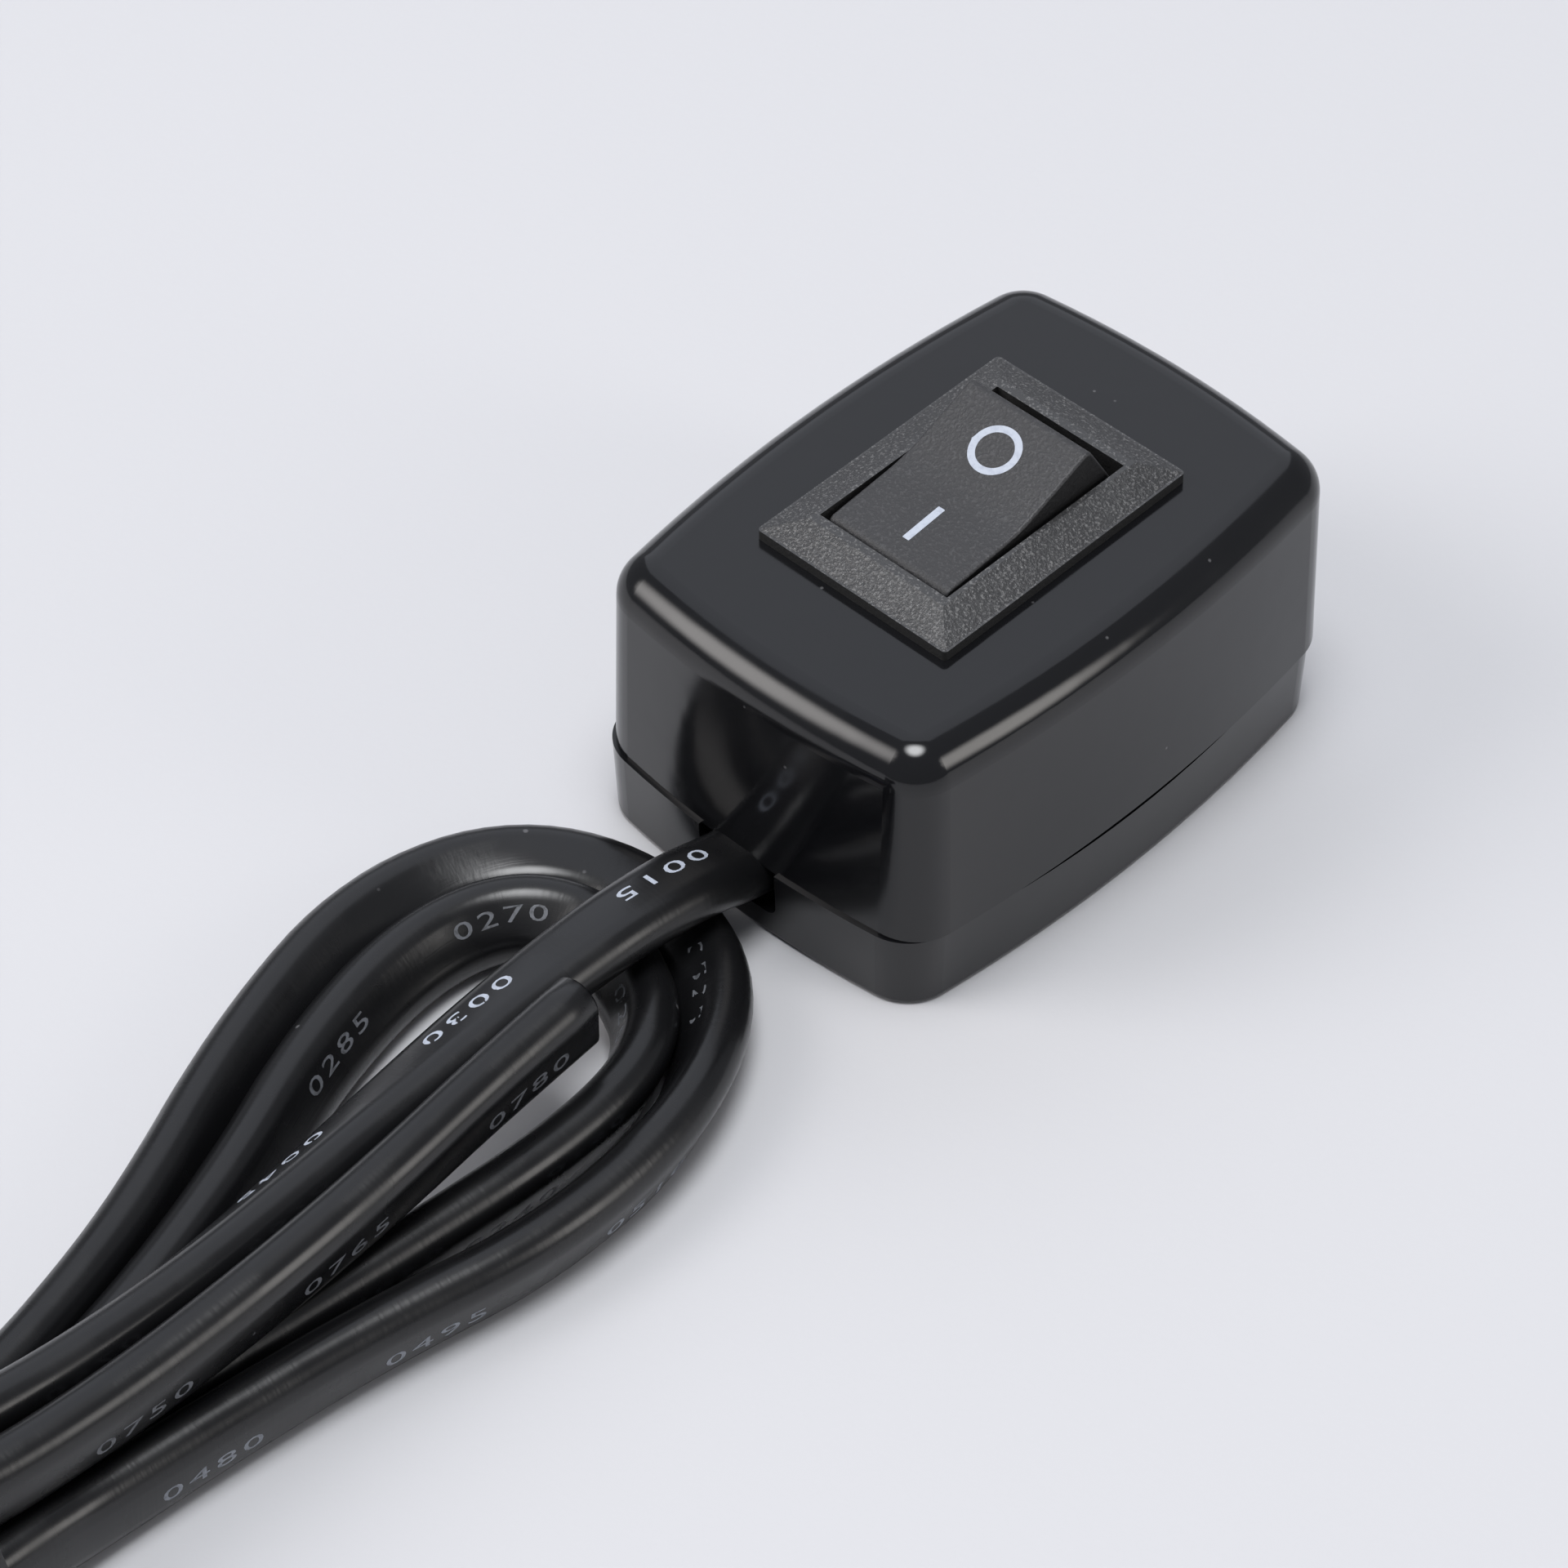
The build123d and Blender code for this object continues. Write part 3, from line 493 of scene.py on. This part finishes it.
# flat twin cable, in mm; roll turns the flat section about its run, 0 lying flat
cable = {
    "width": 5.2,
    "thickness": 3.2,
    "steps": 8,
    "arcSteps": 11,
    "exit": (-0.4, -19.7, 3.9),
    "lead": [
        (-0.40, -12.2, 3.45, 0),
        (-0.45, -16.4, 3.60, 0),
        (-0.50, -20.3, 4.40, 1),
        (-0.25, -23.6, 5.94, -3),
        (-0.35, -27.0, 6.49, -6),
        (-0.45, -31.0, 6.79, -9),
        (-0.50, -38.5, 6.60, -17),
        (-0.20, -46.8, 6.30, -32),
        (0.50, -55.4, 6.35, -46),
        (1.20, -64.2, 6.60, -56),
        (1.30, -73.2, 7.20, -62),
        (1.00, -80.0, 7.95, -72),
        (0.95, -84.5, 8.70, -82),
        (1.00, -88.5, 8.75, -90),
    ],
    "tail": [
        (4.62, -88.5, 8.80, -90),
        (4.75, -84.5, 8.80, -92),
        (5.20, -80.0, 8.30, -96),
        (5.50, -72.0, 7.90, -98),
        (5.40, -62.5, 7.90, -98),
        (4.90, -53.0, 8.00, -97),
        (4.10, -44.2, 8.25, -94),
        (3.75, -36.9, 8.50, -92),
    ],
    "onEdge": -90,  # roll of the strands in the hank
    "low": 2.6,  # middle of a strand that stands on edge on the floor
    "climb": 5.25,  # from there to a strand that lies over it
    "leadDrop": (-0.92, -0.4),  # share of its far turn in which the lead comes down
    "tailRise": (-1.0, -0.52),  # and the tail goes up
    "waist": [-80.5, -84.5, -88.5],
    "waistMiddle": 1.7,
    "farShift": 0.8,  # the far loops lie a little to the right
    "farShiftRun": (92, 120),
    "farPoints": 15,
    "lift": 0.95,  # the tie's band lies under the strands
    "liftNear": (-76, -83),
    "liftFar": (-98, -90),
    "rest": 0.04,  # clear of the floor where the lean changes
    "endRound": 0.18,
}

# x, y and outward lean in degrees, from the right of the waist round to its left
nearLoops = {
    "inner": [
        (3.3, -77.0, 0),
        (4.1, -69.0, 4),
        (5.2, -60.0, 10),
        (6.1, -51.0, 12),
        (6.8, -43.0, 14),
        (6.4, -36.2, 17),
        (4.2, -31.7, 24),
        (0.5, -29.5, 46),
        (-4.4, -28.0, 52),
        (-8.8, -30.4, 47),
        (-10.4, -36.8, 42),
        (-8.5, -46.3, 34),
        (-4.6, -56.0, 20),
        (-1.65, -66.5, 6),
        (0.1, -77.0, 0),
    ],
    "outer": [
        (6.5, -77.0, 0),
        (7.42, -68.0, 5),
        (8.8, -58.0, 9),
        (11.4, -46.5, 14),
        (10.5, -34.8, 17),
        (4.8, -26.1, 56),
        (-4.4, -22.9, 91),
        (-12.4, -26.7, 80),
        (-15.1, -36.6, 51),
        (-11.9, -49.0, 37),
        (-6.8, -61.0, 16),
        (-4.3, -70.0, 5),
        (-3.1, -77.0, 0),
    ],
}

farLoops = {
    "inner": {"apex": -136.0, "reach": 44.0, "foot": 0.7, "belly": 11.5},
    "middle": {"apex": -139.6, "reach": 47.6, "foot": 1.6, "belly": 15.2},
    "outer": {"apex": -143.2, "reach": 51.2, "foot": 4.8, "belly": 16.9},
    "top": {"apex": -137.0, "reach": 45.0, "foot": 2.9, "belly": 12.2},
}


def ease(value, start, end):
    share = min(max((value - start) / (end - start), 0), 1)
    return share * share * (3 - 2 * share)


def tieLift(y):
    return cable["lift"] * ease(y, *cable["liftNear"]) * ease(y, *cable["liftFar"])


def halfHeight(lean):
    core = (cable["width"] - cable["thickness"]) / 2
    return cable["thickness"] / 2 + core * cos(radians(lean))


def nearTurn(loop):
    points = []
    for x, y, lean in loop:
        height = halfHeight(lean) + cable["rest"] + tieLift(y)
        points.append((x, y, height, cable["onEdge"] - lean))
    return points


def farTurn(start, end, level):
    # from the left of the waist round the far end to its right
    points = []
    count = cable["farPoints"]
    for k in range(count):
        t = -1 + 2 * k / (count - 1)
        share = ease(t, -1, 1)
        loop = {key: start[key] + (end[key] - start[key]) * share for key in start}
        y = loop["apex"] + loop["reach"] * (1 - cos(pi * t / 2))
        half = loop["foot"] * abs(t) + loop["belly"] * sin(pi * abs(t))
        middle = cable["waistMiddle"] + cable["farShift"] * ease(-y, *cable["farShiftRun"])
        x = middle + (half if t > 0 else -half)
        points.append((x, y, level(t) + tieLift(y), cable["onEdge"]))
    return points


def leadDown(t):
    return cable["low"] + cable["climb"] * (1 - ease(t, *cable["leadDrop"]))


def lowLevel(t):
    return cable["low"]


def tailUp(t):
    return cable["low"] + cable["climb"] * ease(t, *cable["tailRise"])


def waistRun(before, after, ways):
    points = []
    for y in ways:
        share = (y - before[1]) / (after[1] - before[1])
        x = before[0] + (after[0] - before[0]) * share
        points.append((x, y, cable["low"] + tieLift(y), cable["onEdge"]))
    return points


def cableRoute():
    farOne = farTurn(farLoops["inner"], farLoops["middle"], leadDown)
    farTwo = farTurn(farLoops["middle"], farLoops["outer"], lowLevel)
    farThree = farTurn(farLoops["outer"], farLoops["top"], tailUp)
    inner = nearTurn(nearLoops["inner"])
    outer = nearTurn(nearLoops["outer"])
    back = list(reversed(cable["waist"]))
    route = cable["lead"] + farOne
    route += waistRun(farOne[-1], inner[0], back) + inner
    route += waistRun(inner[-1], farTwo[0], cable["waist"]) + farTwo
    route += waistRun(farTwo[-1], outer[0], back) + outer
    route += waistRun(outer[-1], farThree[0], cable["waist"]) + farThree
    return route + cable["tail"]


def cableFrames(route):
    # at every point: place, direction, the section's two directions, and run so far
    line = splinePoints([Vector(point[:3]) * mm for point in route], cable["steps"])
    rolls = [co.x for co in splinePoints([(point[3], 0, 0) for point in route], cable["steps"])]
    frames, run = [], 0.0
    for k, spot in enumerate(line):
        along = (line[min(k + 1, len(line) - 1)] - line[max(k - 1, 0)]).normalized()
        side = along.cross(Vector((0, 0, 1))).normalized()
        rise = side.cross(along)
        roll = radians(rolls[k])
        across = side * cos(roll) + rise * sin(roll)
        face = rise * cos(roll) - side * sin(roll)
        if k:
            run += (spot - line[k - 1]).length
        frames.append((spot, along, across, face, run))
    return frames


def cableSection(inset=0.0):
    radius = (cable["thickness"] / 2 - inset) * mm
    core = (cable["width"] - cable["thickness"]) / 2 * mm
    outline = []
    for sideSign, first in ((1, -90), (-1, 90)):
        for k in range(cable["arcSteps"] + 1):
            angle = radians(first + 180 * k / cable["arcSteps"])
            outline.append((sideSign * core + radius * cos(angle), radius * sin(angle)))
    return outline


def makeCable(frames):
    verts, runs, arounds = [], [], []
    endRound = cable["endRound"]
    rings = [(frames[0], endRound), *((spot, 0.0) for spot in frames), (frames[-1], endRound)]
    for order, ((spot, along, across, face, run), inset) in enumerate(rings):
        push = (order == len(rings) - 1) - (order == 0)
        middle = spot + along * push * endRound * mm
        girth = 0.0
        section = cableSection(inset)
        for k, (u, v) in enumerate(section):
            verts.append(middle + across * u + face * v)
            girth += (Vector((u, v)) - Vector(section[k - 1])).length if k else 0
            runs.append(run)
            arounds.append(girth)
    piece = meshPiece("cable", verts, tubeFaces(len(rings), len(section)), cableSkin)
    for polygon in piece.data.polygons[-2:]:  # the two ends
        polygon.use_smooth = False
    storeValues(piece, "run", runs)
    storeValues(piece, "around", arounds)
    return piece


cableLine = cableFrames(cableRoute())
cableLength = cableLine[-1][4]
cablePiece = makeCable(cableLine)
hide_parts("cable_lead", "cable_hank", "cable_tail")
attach(cablePiece, "case")
print("cable made, length", round(cableLength, 3))


# plain length numbers down both broad faces, in mm, where the real cable carries its print
cablePrint = {
    "every": 15,
    "height": 1.0,
    "heightShare": 0.7,  # a digit stands this much of the text's size
    "widen": 2.1,  # wide, low digits
    "gap": 1.2,
    "curveSteps": 3,
    "shift": 0.30,  # off the middle of the face
    "sink": 0.012,  # half thickness of the ink
    "first": -1.0,  # where the count starts, from the inner end of the route
    "fresh": (40.0, 75.0),  # bright up to here, then rubbed
    "kept": (430.0, 520.0),  # half rubbed here
    "keptShare": 0.3,
    "bare": (530.0, 590.0),  # no ink left here
}


def within(value, band):
    return band[0] < value < band[1]


def frameAt(frames, run):
    low, high = 0, len(frames) - 1
    while high - low > 1:
        middle = (low + high) // 2
        low, high = (middle, high) if frames[middle][4] <= run else (low, middle)
    before, after = frames[low], frames[high]
    share = (run - before[4]) / (after[4] - before[4])
    return [first.lerp(second, share) for first, second in zip(before[:4], after[:4])]


def numberShape(text):
    curve = bpy.data.curves.new("digits", "FONT")
    curve.body = text
    curve.size = cablePrint["height"] / cablePrint["heightShare"]
    curve.space_character = cablePrint["gap"]
    curve.align_x = "CENTER"
    curve.extrude = cablePrint["sink"]
    curve.resolution_u = cablePrint["curveSteps"]
    return curveMesh(curve)


def makePrint(frames):
    verts, faces, fresh = [], [], []
    half = cable["thickness"] / 2
    every = cablePrint["every"]
    length = frames[-1][4] / mm
    count = int((length - cablePrint["first"]) // every)
    for number in range(1, count + 1):
        middle = cablePrint["first"] + number * every
        if within(middle, cablePrint["bare"]):
            continue
        kept = cablePrint["keptShare"] * within(middle, cablePrint["kept"])
        points, shape = numberShape(f"{number * every:04d}")
        for side in (1, -1):
            start = len(verts)
            for point in points:
                run = middle + side * point.x * cablePrint["widen"]
                spot, along, across, face = frameAt(frames, min(max(run, 0), length) * mm)
                rise = cablePrint["shift"] * side + cablePrint["height"] / 2 - point.y
                verts.append(spot + (across * rise + face * side * (half + point.z)) * mm)
                fresh.append(max(1 - ease(run, *cablePrint["fresh"]), kept))
            faces += [tuple(start + k for k in corners) for corners in shape]
    piece = meshPiece("cable_print", verts, faces, printGrey, smooth=False)
    storeValues(piece, "fresh", fresh)
    return piece


printPiece = makePrint(cableLine)
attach(printPiece, "case")
print("print laid on the cable")


# cut end of the cable, in mm: two cores, each with six strands round one
cutEnd = {
    "coreOffset": 1.0,
    "insulation": 0.92,
    "conductor": 0.50,
    "proud": 0.05,
    "depth": 0.3,  # how far a core goes back into the jacket
    "bevel": 0.06,
    "hollowStep": 0.03,
    "hollowLevel": 0.01,
    "steps": 28,
    "strand": 0.165,
    "strandsRound": 6,
    "strandTurn": 12,  # degrees
    "strandDepth": 0.2,
    "strandTip": 0.03,
    "strandTipShare": 0.7,  # of the strand's radius
    "strandSteps": 12,
    "uneven": 0.04,  # some strands are cut longer than others
    "unevenWave": 2.3,
}


def discStack(centre, right, up, out, rings, steps):
    # round solid from rings of (radius, height), closed at both ends
    verts = []
    for radius, height in rings:
        for k in range(steps):
            angle = 2 * pi * k / steps
            spoke = right * cos(angle) + up * sin(angle)
            verts.append(centre + spoke * radius * mm + out * height * mm)
    return verts, tubeFaces(len(rings), steps)


def joinShapes(shapes):
    verts, faces = [], []
    for points, corners in shapes:
        start = len(verts)
        verts += points
        faces += [tuple(start + k for k in face) for face in corners]
    return verts, faces


def coreRings():
    rim, conductor, proud = cutEnd["insulation"], cutEnd["conductor"], cutEnd["proud"]
    return [
        (rim, -cutEnd["depth"]),
        (rim, proud / 2),
        (rim - cutEnd["bevel"], proud),
        (conductor, proud),
        (conductor - cutEnd["hollowStep"], cutEnd["hollowLevel"]),
    ]


def coreStrands(centre, across, face, along, side):
    wire, ringCount = cutEnd["strand"], cutEnd["strandsRound"]
    shapes = []
    for k in range(ringCount + 1):
        angle = radians(360 / ringCount * k + cutEnd["strandTurn"])
        out = 2 * wire if k < ringCount else 0
        middle = centre + (across * cos(angle) + face * sin(angle)) * out * mm
        height = cutEnd["proud"] + cutEnd["uneven"] * sin(cutEnd["unevenWave"] * k + side)
        tip = (wire * cutEnd["strandTipShare"], height + cutEnd["strandTip"])
        rings = [(wire, -cutEnd["strandDepth"]), (wire, height), tip]
        shapes.append(discStack(middle, across, face, along, rings, cutEnd["strandSteps"]))
    return shapes


def makeCutEnd(frames):
    spot, along, across, face = frames[-1][:4]
    spot = spot + along * cable["endRound"] * mm
    pieces, strands = [], []
    for side, slotName in ((1, "core_brown"), (-1, "core_blue")):
        centre = spot + across * side * cutEnd["coreOffset"] * mm
        shape = discStack(centre, across, face, along, coreRings(), cutEnd["steps"])
        piece = meshPiece("cut_" + slotName, *shape, finishOf[slotName], smooth=False)
        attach(piece, "case")
        pieces.append(piece)
        strands += coreStrands(centre, across, face, along, side)
    piece = meshPiece("cut_strands", *joinShapes(strands), copperStrand, smooth=False)
    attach(piece, "case")
    return pieces + [piece]


cutPieces = makeCutEnd(cableLine)
print("cut end made")


# white marks printed on the rocker, on its two leaning halves, in mm and degrees
rockerMarks = {
    "tilt": 13.5,  # as the CAD rests, with the bar's half down
    "pivot": 17.8,
    "crown": 4.25,
    "dish": 8.5,
    "ink": 0.012,
    "bar": {"along": 3.17, "across": -0.07, "length": 3.15, "width": 0.50, "corner": 0.05},
    "ring": {"along": 3.35, "across": -0.20, "radius": 1.68, "stroke": 0.47, "steps": 96},
    "slip": {"out": 0.07, "angle": 3.2, "spread": 0.06},  # of the printing pad; radians
}


def halfPlane(side):
    # middle of the top, then the directions across, along and out of one half
    tilt, dish = radians(rockerMarks["tilt"]), radians(rockerMarks["dish"])
    up = Vector((0, -sin(tilt), cos(tilt)))
    forward = Vector((0, cos(tilt), sin(tilt)))
    middle = Vector((0, 0, rockerMarks["pivot"])) + up * rockerMarks["crown"]
    along = forward * side * cos(dish) + up * sin(dish)
    out = up * cos(dish) - forward * side * sin(dish)
    return middle, Vector((1, 0, 0)), along, out


def inkLayer(side, outline, height):
    middle, across, along, out = halfPlane(side)
    return [(middle + across * x + along * y + out * height) * mm for x, y in outline]


def ringOutline(radius, slipOut=0.0):
    ring, slip = rockerMarks["ring"], rockerMarks["slip"]
    points = []
    for k in range(ring["steps"]):
        angle = 2 * pi * k / ring["steps"]
        reach = radius + slipOut * exp(-((angle - slip["angle"]) / slip["spread"]) ** 2)
        points.append((ring["across"] + reach * cos(angle), ring["along"] + reach * sin(angle)))
    return points


def ringSlab(side):
    # flat ink between an outer and an inner outline
    ring, ink = rockerMarks["ring"], rockerMarks["ink"]
    outer = ringOutline(ring["radius"], rockerMarks["slip"]["out"])
    inner = ringOutline(ring["radius"] - ring["stroke"])
    layers = ((outer, ink), (outer, -ink), (inner, -ink), (inner, ink))
    verts, faces = [], []
    for outline, height in layers:
        verts += inkLayer(side, outline, height)
    count = len(outer)
    for k in range(count):
        after = (k + 1) % count
        for band in range(len(layers)):
            a, b = band * count, (band + 1) % len(layers) * count
            faces.append((a + k, a + after, b + after, b + k))
    return verts, faces


def barOutline():
    bar = rockerMarks["bar"]
    corner = bar["corner"]
    halfWidth, halfLength = bar["width"] / 2, bar["length"] / 2
    points = []
    for quarter, (sx, sy) in enumerate(((1, 1), (-1, 1), (-1, -1), (1, -1))):
        for k in range(4):
            angle = radians(90 * quarter + 30 * k)
            x = sx * (halfWidth - corner) + corner * cos(angle)
            y = sy * (halfLength - corner) + corner * sin(angle)
            points.append((bar["across"] + x, bar["along"] + y))
    return points


def barSlab(side):
    outline, ink = barOutline(), rockerMarks["ink"]
    count = len(outline)
    verts = inkLayer(side, outline, ink) + inkLayer(side, outline, -ink)
    faces = [tuple(range(count)), tuple(reversed(range(count, 2 * count)))]
    faces += [(k, k + count, (k + 1) % count + count, (k + 1) % count) for k in range(count)]
    return verts, faces


def makeMarks():
    for name, shape in (("mark_off", ringSlab(1)), ("mark_on", barSlab(-1))):
        piece = meshPiece(name, *shape, markWhite, smooth=False)
        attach(piece, "rocker")


makeMarks()
print("marks printed on the rocker")


# studio, in metres and watts
paperFloor = {
    "tint": (0.577, 0.579, 0.599),
    "rough": 0.55,
    "grain": 1500.0,
    "depth": 0.000015,
    "half": 4.0,
    "drop": 0.00002,
}

sky = {"tint": (0.86, 0.885, 0.955), "level": 0.27}

lamps = {
    "frontSoftbox": {
        "spot": (-0.477, -0.590, 0.572),
        "size": (0.72, 0.94),
        "power": 11.8,
        "tint": (1.0, 0.965, 0.95),
        "soft": True,
    },
    "sideStrip": {
        "spot": (0.68, 0.30, 0.32),
        "size": (0.36, 0.62),
        "power": 3.2,
        "tint": (1.0, 0.965, 0.93),
        "soft": True,
    },
    "topPanel": {
        "spot": (-0.40, 0.41, 0.56),
        "size": (0.80, 0.80),
        "power": 1.38,
        "tint": (0.86, 0.90, 1.0),
        "soft": False,
    },
    "keyOverhead": {
        "spot": (0.06, -0.08, 1.0),
        "size": (0.70, 0.70),
        "power": 22.0,
        "tint": (0.97, 0.98, 1.0),
        "soft": True,
    },
}

# a diffuser is brightest in its middle and fades towards its rim
diffuser = {"middle": (0.5, 0.5, 0.0), "fade": (0.5, 0.15)}


def makeFloor(look):
    half = look["half"]
    corners = [(-half, -half, 0), (half, -half, 0), (half, half, 0), (-half, half, 0)]
    paper, tree, shader = newFinish("palePaper", look["tint"], look["rough"])
    grain = noise(tree, objectPlace(tree), look["grain"], detail=3.0)
    tree.links.new(bumpNode(tree, grain, look["depth"]), shader["Normal"])
    floor = meshPiece("floor", corners, [(0, 1, 2, 3)], paper)
    floor.location.z = -look["drop"]


def makeSky(look):
    world = bpy.data.worlds.new("studio")
    world.use_nodes = True
    background = world.node_tree.nodes["Background"]
    background.inputs["Color"].default_value = (*look["tint"], 1)
    background.inputs["Strength"].default_value = look["level"]
    scene.world = world


def softEdges(data):
    data.use_nodes = True
    tree = data.node_tree
    place = addNode(tree, "NewGeometry").outputs["Parametric"]
    ends = {0: place, 1: diffuser["middle"]}
    reach = addNode(tree, "VectorMath", ends, operation="DISTANCE").outputs["Value"]
    glow = stretch(tree, reach, *diffuser["fade"])
    tree.links.new(glow, tree.nodes["Emission"].inputs["Strength"])


def areaLamp(name, look):
    data = bpy.data.lights.new(name, "AREA")
    data.shape = "RECTANGLE"
    data.size, data.size_y = look["size"]
    data.energy = look["power"]
    data.color = look["tint"]
    if look["soft"]:
        softEdges(data)
    lamp = bpy.data.objects.new(name, data)
    scene.collection.objects.link(lamp)
    lamp.location = look["spot"]
    lamp.rotation_euler = (-Vector(look["spot"])).to_track_quat("-Z", "Y").to_euler()


makeFloor(paperFloor)
makeSky(sky)
for lampName, lampLook in lamps.items():
    areaLamp(lampName, lampLook)
print("studio made with", len(lamps), "lamps")
